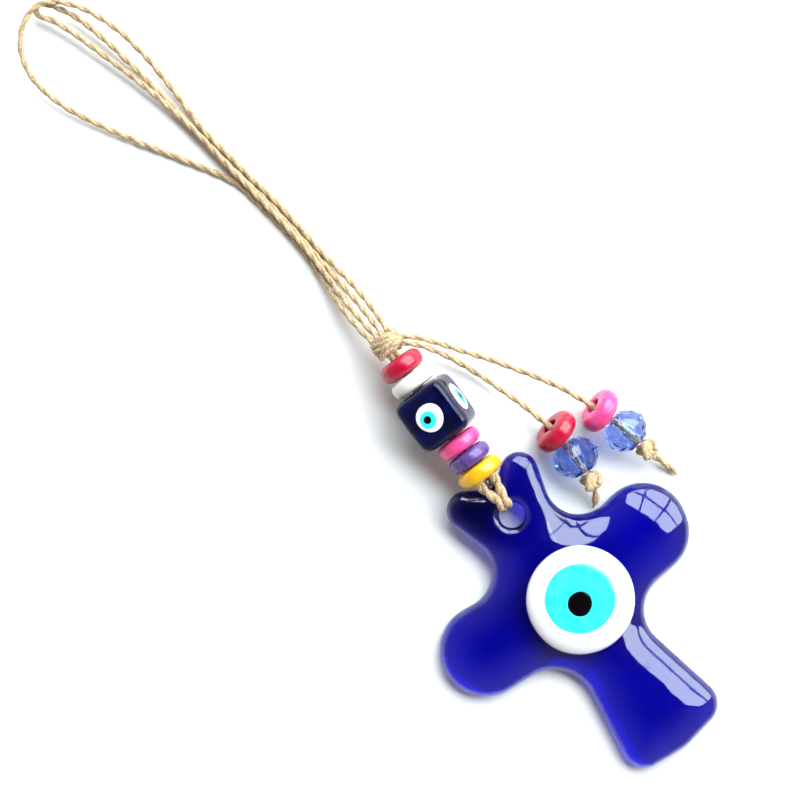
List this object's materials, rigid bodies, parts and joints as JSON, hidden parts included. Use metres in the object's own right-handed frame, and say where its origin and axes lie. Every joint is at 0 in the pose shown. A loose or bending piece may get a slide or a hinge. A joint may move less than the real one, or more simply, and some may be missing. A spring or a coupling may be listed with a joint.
{
  "type": "evil eye ornament",
  "caption": "Blue glass cross with a raised eye, hung by a knotted twine string that carries coloured beads, a cube eye bead and two beaded tails.",
  "frame": {"origin": "middle of the glass cross's eye, on the flat back that lies on the table", "axes": "+Z out of the front of the glass, +Y up the cross to its hanging hole and along the string, +X to the right seen from the front"},
  "size_m": [0.0818, 0.2599, 0.017],
  "materials": {
    "cobalt_glass": "thick cast cobalt glass, soft fire-polished edges, slightly uneven surface",
    "white_glass": "opaque white glass, glossy",
    "turquoise_glass": "opaque turquoise glass, glossy",
    "black_glass": "opaque black glass, glossy",
    "navy_glass": "dark blue opaque glass, glossy with soft marks",
    "red_lacquer": "crimson lacquer over a turned bead, satin gloss",
    "white_lacquer": "warm white lacquer, satin gloss",
    "pink_lacquer": "pink lacquer, satin gloss",
    "purple_lacquer": "mottled purple lacquer, satin gloss",
    "yellow_lacquer": "golden yellow lacquer, satin gloss",
    "blue_crystal": "clear light blue faceted glass",
    "twine": "two-ply tan hemp twine, fuzzy"
  },
  "bodies": {
    "glass": {"glass_cross": "cobalt_glass", "eye_white": "white_glass", "eye_iris": "turquoise_glass", "eye_pupil": "black_glass"},
    "string": {"main_knot": "twine", "glass_loop_left": "twine", "glass_loop_right": "twine"},
    "yellow": {"yellow_bead": "yellow_lacquer"},
    "purple": {"purple_bead": "purple_lacquer"},
    "pink": {"pink_bead": "pink_lacquer"},
    "cube": {"cube_bead": "navy_glass", "cube_front_white": "white_glass", "cube_front_iris": "turquoise_glass", "cube_front_pupil": "black_glass", "cube_right_white": "white_glass", "cube_right_iris": "turquoise_glass", "cube_right_pupil": "black_glass", "cube_back_white": "white_glass", "cube_back_iris": "turquoise_glass", "cube_back_pupil": "black_glass", "cube_left_white": "white_glass", "cube_left_iris": "turquoise_glass", "cube_left_pupil": "black_glass"},
    "white": {"white_bead": "white_lacquer"},
    "top_red": {"top_red_bead": "red_lacquer"},
    "loops": {"hanging_loop_outer": "twine", "hanging_loop_inner": "twine"},
    "tail_a": {"tail_cord_a": "twine", "end_knot_a": "twine"},
    "tail_b": {"tail_cord_b": "twine", "end_knot_b": "twine"},
    "tail_red": {"tail_red_bead": "red_lacquer"},
    "tail_pink": {"tail_pink_bead": "pink_lacquer"},
    "stone_a": {"crystal_a": "blue_crystal"},
    "stone_b": {"crystal_b": "blue_crystal"}
  },
  "joints": [
    {"name": "string_lift", "type": "hinge", "parent": "glass", "child": "string", "pos_m": [-0.0012, 0.03465, 0.0055], "axis": [1, 0, 0], "range_deg": [0, 95]},
    {"name": "loops_lift", "type": "hinge", "parent": "string", "child": "loops", "pos_m": [-0.0012, 0.08675, 0.0085], "axis": [1, 0, 0], "range_deg": [0, 90]},
    {"name": "yellow_spin", "type": "hinge", "parent": "string", "child": "yellow", "pos_m": [-0.0012, 0.0427, 0.0085], "axis": [0, 1, 0], "continuous": true},
    {"name": "purple_spin", "type": "hinge", "parent": "string", "child": "purple", "pos_m": [-0.0012, 0.04727, 0.0085], "axis": [0, 1, 0], "continuous": true},
    {"name": "pink_spin", "type": "hinge", "parent": "string", "child": "pink", "pos_m": [-0.0012, 0.05175, 0.0085], "axis": [0, 1, 0], "continuous": true},
    {"name": "cube_spin", "type": "hinge", "parent": "string", "child": "cube", "pos_m": [-0.0012, 0.0618, 0.0085], "axis": [0, 1, 0], "continuous": true},
    {"name": "white_spin", "type": "hinge", "parent": "string", "child": "white", "pos_m": [-0.0012, 0.0719, 0.0085], "axis": [0, 1, 0], "continuous": true},
    {"name": "top_red_spin", "type": "hinge", "parent": "string", "child": "top_red", "pos_m": [-0.0012, 0.0768, 0.0085], "axis": [0, 1, 0], "continuous": true},
    {"name": "tail_a_lift", "type": "hinge", "parent": "string", "child": "tail_a", "pos_m": [0.003, 0.08121, 0.0085], "axis": [0.874, 0.486, 0], "range_deg": [0, 60]},
    {"name": "tail_b_lift", "type": "hinge", "parent": "string", "child": "tail_b", "pos_m": [0.00373, 0.0828, 0.0085], "axis": [0.874, 0.486, 0], "range_deg": [0, 60]},
    {"name": "tail_red_spin", "type": "hinge", "parent": "tail_a", "child": "tail_red", "pos_m": [0.02097, 0.03921, 0.00645], "axis": [-0.2343, 0.9371, 0.2588], "continuous": true},
    {"name": "tail_pink_spin", "type": "hinge", "parent": "tail_b", "child": "tail_pink", "pos_m": [0.03348, 0.03678, 0.00645], "axis": [-0.3611, 0.8959, 0.2588], "continuous": true},
    {"name": "crystal_a_spin", "type": "hinge", "parent": "tail_a", "child": "stone_a", "pos_m": [0.02124, 0.03072, 0.00645], "axis": [-0.0819, -0.9966, 0], "continuous": true},
    {"name": "crystal_b_spin", "type": "hinge", "parent": "tail_b", "child": "stone_b", "pos_m": [0.03576, 0.02852, 0.00645], "axis": [0.2079, -0.9781, 0], "continuous": true}
  ]
}
